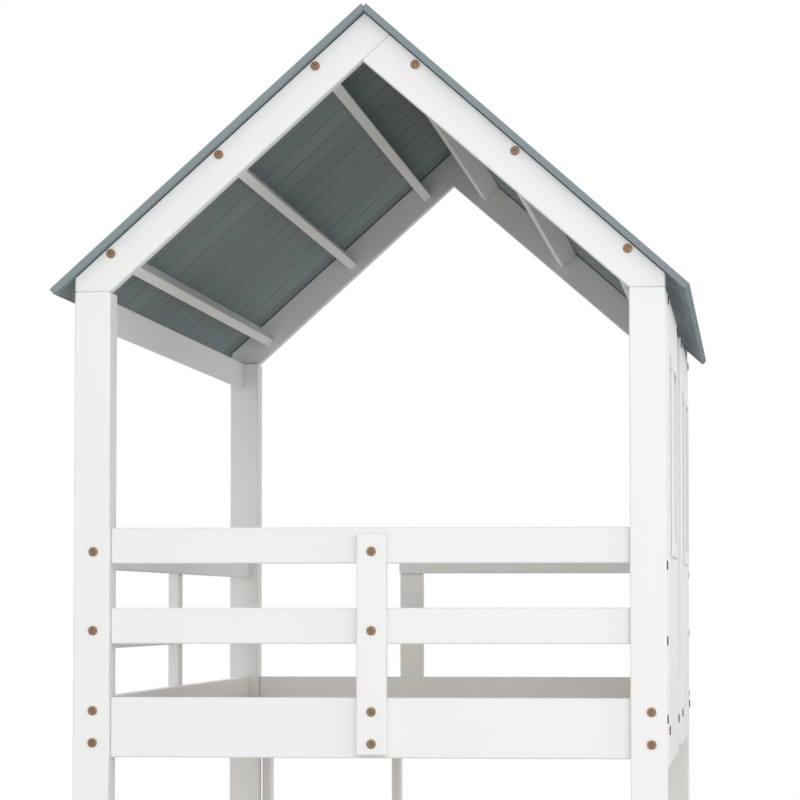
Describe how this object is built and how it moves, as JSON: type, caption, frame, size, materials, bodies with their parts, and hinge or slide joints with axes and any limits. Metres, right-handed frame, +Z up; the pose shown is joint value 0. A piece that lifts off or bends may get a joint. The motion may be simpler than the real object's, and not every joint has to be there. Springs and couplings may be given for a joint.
{
  "type": "bunk bed with trundle",
  "caption": "House-roofed bunk bed with guard rails, window walls on one side, an end ladder and a pull-out trundle on casters.",
  "frame": {"origin": "on the floor under the middle of the bounding box", "axes": "+X to the side with the window walls, where the trundle draws out; +Y along the bed to the ladder end; +Z up"},
  "size_m": [1.1753, 2.0744, 2.3906],
  "materials": {
    "white_paint": "satin white paint",
    "grey_roof_paint": "satin blue-grey paint",
    "bare_pine": "planed, unfinished",
    "zinc_plate": "zinc plated",
    "caster_tyre": "matt dark grey",
    "bolt_bronze": "bronze-plated bolt heads and nuts"
  },
  "bodies": {
    "frame": {"eave_beam_left": "white_paint", "eave_beam_right": "white_paint", "ladder_rung_1": "white_paint", "ladder_rung_2": "white_paint", "ladder_rung_3": "white_paint", "ladder_rung_4": "white_paint", "ladder_side_left": "white_paint", "ladder_side_right": "white_paint", "lower_back_bed_rail": "white_paint", "lower_front_bed_rail": "white_paint", "lower_left_bed_rail": "white_paint", "lower_right_bed_rail": "white_paint", "lower_slatted_base": "bare_pine", "post_back_left": "white_paint", "post_back_right": "white_paint", "post_front_left": "white_paint", "post_front_right": "white_paint", "purlin_left_1": "white_paint", "purlin_left_2": "white_paint", "purlin_left_3": "white_paint", "purlin_right_1": "white_paint", "purlin_right_2": "white_paint", "purlin_right_3": "white_paint", "rafter_back_left": "white_paint", "rafter_back_right": "white_paint", "rafter_front_left": "white_paint", "rafter_front_right": "white_paint", "roof_board_left": "grey_roof_paint", "roof_board_right": "grey_roof_paint", "upper_back_batten": "white_paint", "upper_back_bed_rail": "white_paint", "upper_back_mid_rail": "white_paint", "upper_back_top_rail": "white_paint", "upper_front_batten": "white_paint", "upper_front_bed_rail": "white_paint", "upper_front_mid_rail": "white_paint", "upper_front_top_rail": "white_paint", "upper_left_batten": "white_paint", "upper_left_bed_rail": "white_paint", "upper_left_mid_rail": "white_paint", "upper_left_top_rail": "white_paint", "upper_right_bed_rail": "white_paint", "upper_slatted_base": "bare_pine", "window_trim_back": "white_paint", "window_trim_front": "white_paint", "window_wall_back": "white_paint", "window_wall_front": "white_paint"},
    "trundle": {"caster_fork_back_left": "zinc_plate", "caster_fork_back_right": "zinc_plate", "caster_fork_front_left": "zinc_plate", "caster_fork_front_right": "zinc_plate", "trundle_back_board": "white_paint", "trundle_end_board_back": "white_paint", "trundle_end_board_front": "white_paint", "trundle_front_board": "white_paint", "trundle_slatted_base": "bare_pine"},
    "wheel_back_left": {"caster_wheel_back_left": "caster_tyre"},
    "wheel_back_right": {"caster_wheel_back_right": "caster_tyre"},
    "wheel_front_left": {"caster_wheel_front_left": "caster_tyre"},
    "wheel_front_right": {"caster_wheel_front_right": "caster_tyre"}
  },
  "joints": [
    {"name": "trundle_slide", "type": "slide", "parent": "frame", "child": "trundle", "axis": [1, 0, 0], "range_m": [0, 1.06]},
    {"name": "wheel_back_left_spin", "type": "hinge", "parent": "trundle", "child": "wheel_back_left", "pos_m": [-0.4702, 0.80185, 0.02], "axis": [0, 1, 0], "continuous": true},
    {"name": "wheel_back_right_spin", "type": "hinge", "parent": "trundle", "child": "wheel_back_right", "pos_m": [0.5022, 0.80185, 0.02], "axis": [0, 1, 0], "continuous": true},
    {"name": "wheel_front_left_spin", "type": "hinge", "parent": "trundle", "child": "wheel_front_left", "pos_m": [-0.4702, -0.82015, 0.02], "axis": [0, 1, 0], "continuous": true},
    {"name": "wheel_front_right_spin", "type": "hinge", "parent": "trundle", "child": "wheel_front_right", "pos_m": [0.5022, -0.82015, 0.02], "axis": [0, 1, 0], "continuous": true}
  ],
  "couplings": [
    {"joint": "wheel_back_left_spin", "follows": "trundle_slide", "rad_per_m": 50},
    {"joint": "wheel_back_right_spin", "follows": "trundle_slide", "rad_per_m": 50},
    {"joint": "wheel_front_left_spin", "follows": "trundle_slide", "rad_per_m": 50},
    {"joint": "wheel_front_right_spin", "follows": "trundle_slide", "rad_per_m": 50}
  ]
}
